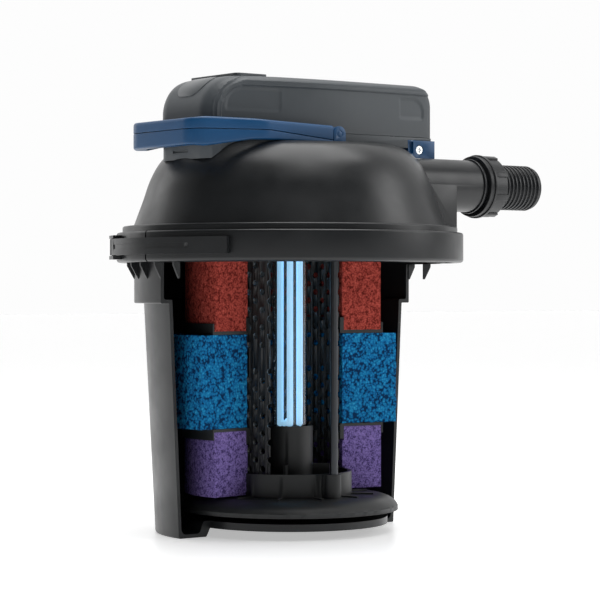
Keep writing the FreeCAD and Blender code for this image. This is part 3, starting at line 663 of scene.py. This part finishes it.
def makeNut(side):
    s = nutSizes
    body = lathe("nut", softOutline([
        (s["inner"], s["start"], 0.6), (s["radius"], s["start"], 1.2), (s["radius"], s["start"] + 5.6, 0.5),
        (s["radius"] + 1.6, s["start"] + 6, 0.6), (s["radius"] + 1.6, s["start"] + 9, 0.6),
        (s["radius"], s["start"] + 9.4, 0.5), (s["radius"], s["end"], 1.6), (s["mouth"], s["end"], 0.6),
        (s["mouth"], s["end"] - s["mouthDepth"]), (s["inner"], s["end"] - s["mouthDepth"])]), steps=96)
    grips = []
    for k in range(s["grips"]):
        grip = roundBlock("grip", (s["radius"] - 2, -s["gripHalf"], s["start"] + 8),
                          (s["radius"] + 1.6, s["gripHalf"], s["end"]), 0.8)
        grip.data.transform(Matrix.Rotation(math.radians(360 / s["grips"] * (k + 0.5)), 4, "Z"))
        grips.append(grip)
    nut = joinAll([body] + grips, "unionNut_" + side)
    layInPort(nut, side)
    placePiece(nut, blackPlastic, "nut_" + side, "casing_black", "union_nut_" + side)


def makeTail(side):
    s = tailSizes
    outline = [(s["bore"], s["start"]), (s["flange"], s["start"], 0.5),
               (s["flange"], nutSizes["end"] - 5.4, 0.5), (s["core"], nutSizes["end"] - 5.4)]
    x = nutSizes["end"] + 3
    while x < s["end"] - s["pitch"]:
        outline += [(s["core"], x, 0.3), (s["radius"], x + 0.4, 0.7), (s["radius"], x + 2.2, 0.7),
                    (s["core"], x + s["pitch"] - 1.0, 0.5)]
        x += s["pitch"]
    outline += [(s["core"] + 0.4, s["end"], 2.2), (s["bore"], s["end"], 1)]
    tail = lathe("hoseTail_" + side, softOutline(outline, 3), steps=96)
    layInPort(tail, side)
    placePiece(tail, blackPlastic, "filter_body", "casing_black", "hose_tail_" + side)


for side in ("outlet", "inlet"):
    makeNut(side)
    makeTail(side)
print("ports ready")


# The cut cells are a noise of the pores' size with a finer one added, sunk below the face.
# Cell is the spacing of the mesh.
foamSizes = {"cut": 9.14, "bore": 66.0, "sleeve": 68.4, "cell": 2.0, "finer": 2.3, "finerShare": 0.6,
             "sink": 0.7, "rodY": 78, "rodHole": 5.4, "keep": 0.7}
# The notches at the top and foot of a bore clear the tube's sleeves
foams = {"foamRed": {"node": "foam_red", "body": "filter_body", "joint": "upper_separator_slide",
                     "material": redFoam, "radius": 115.6, "depth": 0.35, "pore": 2.6,
                     "topNotch": 0, "footNotch": 16},
         "foamBlue": {"node": "foam_blue", "body": "upper_stage", "joint": "lower_separator_slide",
                      "material": blueFoam, "radius": 136.0, "depth": 0.9, "pore": 4.6,
                      "topNotch": 0, "footNotch": 0},
         "foamPurple": {"node": "foam_purple", "body": "lower_stage", "joint": "cleaning_lift",
                        "material": purpleFoam, "radius": 116.0, "depth": 0.3, "pore": 2.4,
                        "topNotch": 15, "footNotch": 24}}


# Spins a fine grid round the tube. notches are (inner, outer, low, high) corners left out of it.
def foamBlock(name, outer, low, high, notches):
    inner, cell = foamSizes["bore"], foamSizes["cell"]
    deselectAll()
    columns, rows = round((outer - inner) / cell), round((high - low) / cell)
    bpy.ops.mesh.primitive_grid_add(x_subdivisions=columns, y_subdivisions=rows, size=1)
    foam = bpy.context.object
    foam.name = name
    turn = math.radians(-foamSizes["cut"])
    for vertex in foam.data.vertices:
        r, z = inner + (vertex.co.x + 0.5) * (outer - inner), low + (vertex.co.y + 0.5) * (high - low)
        vertex.co = Vector((r * math.cos(turn), r * math.sin(turn), z)) * mm
    editAll(foam, "FACE")
    bpy.ops.mesh.select_all(action="DESELECT")
    bpy.ops.object.mode_set(mode="OBJECT")
    for face in foam.data.polygons:
        r, z = math.hypot(face.center.x, face.center.y) / mm, face.center.z / mm
        face.select = any(n[0] < r < n[1] and n[2] < z < n[3] for n in notches)
    bpy.ops.object.mode_set(mode="EDIT")
    bpy.ops.mesh.delete(type="FACE")
    bpy.ops.mesh.select_all(action="SELECT")
    sweep = 180 + 2 * foamSizes["cut"]
    bpy.ops.mesh.spin(steps=round(math.radians(sweep) * outer / cell), angle=math.radians(sweep),
                      center=(0, 0, 0), axis=(0, 0, -1))
    bpy.ops.object.mode_set(mode="OBJECT")
    cleanUp(foam)
    return foam


# Roughens a foam as cut open cells, makes its rod hole and gives it a mesh of its own.
def makeFoam(name):
    s, f = foamSizes, foams[name]
    node, joint, size = f["node"], f["joint"], f["pore"]
    low, high = (corner.z for corner in corners(node))
    foam = foamBlock(name, f["radius"], low, high, [(0, s["sleeve"], high - f["topNotch"], high + 1),
                                                    (0, s["sleeve"], low - 1, low + f["footNotch"])])
    normals = [vertex.normal.copy() for vertex in foam.data.vertices]
    for vertex, normal in zip(foam.data.vertices, normals):
        height = noise.noise(vertex.co * (1000 / size))
        height += s["finerShare"] * noise.noise(vertex.co * (1000 * s["finer"] / size))
        vertex.co = vertex.co + normal * (height - s["sink"]) * f["depth"] * mm
    cutWith(foam, roundBar("rodHole", s["rodHole"], (0, s["rodY"], 20), (0, s["rodY"], 320), 0, 32))
    placePiece(foam, f["material"], f["body"], node, node, angle=70)
    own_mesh(foam)


for name in foams:
    makeFoam(name)
print("foams ready")

for node in ("separator_upper", "separator_lower", "lamp_guard", "core_tube", "insert_plate",
             "outlet_chamber", "base_plate", "lamp_socket", "sleeve_nut", "cable_gland"):
    polishNode(node, innerPlastic, "casing_black")
for node in ("rim_seal", "port_gaskets", "rod_seals", "head_gasket", "sleeve_seal"):
    polishNode(node, rubber, "seal_rubber")
for node in ("lift_rods", "rod_nuts", "cover_screws", "handle_screws"):
    polishNode(node, rodSteel, "steel")
polishNode("lock_screw", screwSteel, "bright_steel")
polishNode("ballast", paintedSteel, "ballast_metal", 0.6)
polishNode("quartz_sleeve", quartz, "quartz")
polishNode("uv_lamp", lampGlass, "lamp_glass")
# Between squeezeFront and squeezeRear the plan keeps its place; past them the ends draw in with height.
headSizes = {"front": -143.0, "rear": 150.0, "frontHalf": 47.0, "widestX": -10.0, "half": 69.0,
             "widestRound": 600, "seam": 433.1, "top": 490.6, "frontRound": 40.0, "rearRound": 24.0,
             "sideRound": 10.0, "frontCorner": 20.0, "rearCorner": 10.0, "squeezeFront": -60.0,
             "squeezeRear": 90.0, "wall": 3.0, "cell": 1.5, "rows": 12, "arcRows": 30}
# The side field stops at bands that climb beside the front corner and turn back along the top edge
headRelief = {"fieldStart": -127.0, "fieldTop": 480.0, "fieldCorner": 22.0, "fieldDepth": 1.5,
              "bandHeight": 0.9, "bandWidth": 3.4, "bandPlaces": (6.0, 15.0), "labelDepth": 0.8, "edge": 1.4,
              "labelCorner": 2, "labelBigCorner": 14, "frontReach": 20, "frontBend": 0.3, "runOn": 100}
# Big is the end that has the large corner
headLabels = [{"low": (-122.0, 454.5), "high": (-58.0, 476.0), "big": "front"},
              {"low": (101.0, 454.0), "high": (134.0, 475.0), "big": "rear"}]


# Places at even steps along a closed outline
def evenSteps(outline, spacing):
    closed = outline + [outline[0]]
    lengths = [0.0]
    for p, q in zip(closed, closed[1:]):
        lengths.append(lengths[-1] + (q - p).length)
    count = round(lengths[-1] / spacing)
    result, i = [], 0
    for k in range(count):
        here = lengths[-1] * k / count
        while lengths[i + 1] < here:
            i += 1
        span = lengths[i + 1] - lengths[i]
        result.append(closed[i].lerp(closed[i + 1], (here - lengths[i]) / span if span else 0))
    return result


# Distance outside a box with rounded corners, less than zero inside it
def boxDistance(p, low, high, radius):
    x = max(low[0] + radius - p[0], p[0] - high[0] + radius)
    z = max(low[1] + radius - p[1], p[1] - high[1] + radius)
    return math.hypot(max(x, 0), max(z, 0)) + min(max(x, z), 0) - radius


def softStep(value, width):
    t = min(max(0.5 - value / width, 0), 1)
    return t * t * (3 - 2 * t)


# How far the head's side stands out at x, z
def headHeight(x, z):
    r = headRelief
    field = boxDistance((x, z), (r["fieldStart"], 300), (400, r["fieldTop"]), r["fieldCorner"])
    height = -r["fieldDepth"] * softStep(field, r["edge"])
    for place in r["bandPlaces"]:
        height += r["bandHeight"] * softStep(abs(field - place) - r["bandWidth"] / 2, r["edge"])
    for label in headLabels:
        box = boxDistance((x, z), label["low"], label["high"], r["labelCorner"])
        # The large corner belongs to a box that runs on past the other corners
        low, high = list(label["low"]), list(label["high"])
        low[1] -= r["runOn"]
        if label["big"] == "front":
            high[0] += r["runOn"]
        else:
            low[0] -= r["runOn"]
        large = boxDistance((x, z), low, high, r["labelBigCorner"])
        height -= r["labelDepth"] * softStep(max(box, large), r["edge"])
    return height


def headLoop(plan, z, inset, relief):
    s = headSizes
    rise = [max(0, z - (s["top"] - s[name])) for name in ("frontRound", "rearRound", "sideRound")]
    front, rear, side = [radius - math.sqrt(max(radius ** 2 - min(h, radius) ** 2, 0)) for h, radius in
                         zip(rise, (s["frontRound"], s["rearRound"], s["sideRound"]))]
    turnFront, turnRear = s["squeezeFront"], s["squeezeRear"]
    loop = []
    for k, p in enumerate(plan):
        along = plan[(k + 1) % len(plan)] - plan[k - 1]
        out = Vector((along.y, -along.x)).normalized()
        x, y = p.x - out.x * inset, p.y - out.y * inset
        if relief and abs(out.y) > 0.05:
            bend = max(0, abs(out.x) - headRelief["frontBend"]) * (x < 0)
            distance = headHeight(x - headRelief["frontReach"] * bend, z)
            x, y = x + out.x * distance, y + out.y * distance
        if x < turnFront:
            x = turnFront - (turnFront - x) * (turnFront - s["front"] - front) / (turnFront - s["front"])
        elif x > turnRear:
            x = turnRear + (x - turnRear) * (s["rear"] - rear - turnRear) / (s["rear"] - turnRear)
        loop.append((x, y * (1 - side / s["half"]), z))
    return loop


def makeHeadCover():
    s = headSizes
    half = [(s["front"], -s["frontHalf"], s["frontCorner"]), (s["widestX"], -s["half"], s["widestRound"]),
            (s["rear"], -s["half"], s["rearCorner"])]
    plan = evenSteps(softOutline(half + [(x, -y, r) for x, y, r in reversed(half)], 10), s["cell"])
    straight = s["top"] - s["frontRound"]
    levels = [s["seam"] + (straight - s["seam"]) * k / s["rows"] for k in range(s["rows"])]
    levels += [straight + s["frontRound"] * math.sin(math.pi / 2 * k / s["arcRows"])
               for k in range(s["arcRows"] + 1)]
    inside = [z for z in levels[::4] if z < s["top"] - s["wall"] - 1] + [s["top"] - s["wall"]]
    loops = [headLoop(plan, z, s["wall"], False) for z in inside[::-1]]
    loops += [headLoop(plan, z, 0, True) for z in levels]
    cover = skin("headCover", loops)
    placePiece(cover, greyPlastic, "filter_body", "head_grey", "head_cover", angle=30)


def makeHeadBase():
    base = polishNode("head_base", greyPlastic, "head_grey", 0.5)
    cutWith(base, roundBlock("slot", (-150, -10, 409.3), (-141, 18, 411.9), 0.4))
    smooth(base, 30)


makeHeadCover()
makeHeadBase()
polishNode("top_rail", greyPlastic, "head_grey", 0.5)
polishNode("top_panel", panelPlastic, "panel_grey", 0.3)
handleSizes = {"pivot": 430.5, "gap": 0.35, "round": 4.0, "lowerRound": 0.6, "splitRound": 0.5,
               "eye": 5.8, "tongue": (79.2, 84.8), "tongueStart": -12,
               "outer": [(-8.8, 88.0), (-100.0, 86.0, 60.0), (-172.0, 60.0, 26.0)],
               "inner": [(-8.8, 76.0), (-104.0, 75.6, 40.0), (-157.0, 50.0, 15.0)],
               "top": [(-172, 11.4), (-155, 13.4), (-135, 13.4), (-100, 11.6), (-50, 9.2), (-8, 8.6)],
               "bottom": [(-172, -14.8), (-157, -17), (-142, -15.8), (-126, -11.4), (-114, -9.5),
                          (-8, -9.5)],
               "splitLine": [(-172, 0.6), (-34, 0.6), (-13, -7.0), (-8, -7.0)]}


# Value at x on a line through (x, value) points
def lineAt(points, x):
    for (x0, v0), (x1, v1) in zip(points, points[1:]):
        if x <= x1:
            t = max(0.0, (x - x0) / (x1 - x0))
            return v0 + (v1 - v0) * t
    return points[-1][1]


# One shell of the bail: rounded sections laid between its outer and its inner outline
def makeHandleShell(name, upper):
    s = handleSizes
    sides = []
    for side in ("outer", "inner"):
        half = s[side]
        mirrored = [(p[0], -p[1]) + tuple(p[2:]) for p in reversed(half)]
        # The ends are open, so their corners stay sharp
        sides.append(softOutline(half + mirrored, 12))
    loops = []
    for outer, inner in zip(*sides):
        x = (outer.x + inner.x) / 2
        split = s["pivot"] + lineAt(s["splitLine"], x)
        width = (outer - inner).length
        if upper:
            section = [(0, split + s["gap"], s["splitRound"]), (width, split + s["gap"], s["splitRound"]),
                       (width, s["pivot"] + lineAt(s["top"], x), s["round"]),
                       (0, s["pivot"] + lineAt(s["top"], x), s["round"])]
        else:
            floor = s["pivot"] + lineAt(s["bottom"], x)
            corner = s["round"] * s["lowerRound"]
            section = [(0, floor, corner), (width, floor, corner),
                       (width, split - s["gap"], s["splitRound"]), (0, split - s["gap"], s["splitRound"])]
        loops.append([tuple(inner.lerp(outer, w / width)) + (z,) for w, z in softOutline(section, 4)])
    shell = skin(name, loops)
    if upper:
        for side in (-1, 1):
            y0, y1 = sorted(side * y for y in s["tongue"])
            z0, z1 = s["pivot"] - s["eye"], s["pivot"] + s["eye"]
            tongue = roundBlock("tongue", (s["tongueStart"], y0, z0), (0, y1, z1), 0.3)
            eye = roundBar("eye", s["eye"], (0, y0, s["pivot"]), (0, y1, s["pivot"]), 0.3)
            shell = joinAll([shell, tongue, eye], name)
    return shell


for name, node, upper in (("handleUpper", "handle_upper", True), ("handleLower", "handle_lower", False)):
    placePiece(makeHandleShell(name, upper), bluePlastic, "handle", "handle_blue", node)
for node, bevel in (("handle_brackets", 0.6), ("handle_pins", 0.4), ("rear_lock", 0.6)):
    polishNode(node, bluePlastic, "handle_blue", bevel)
print("frame parts polished")
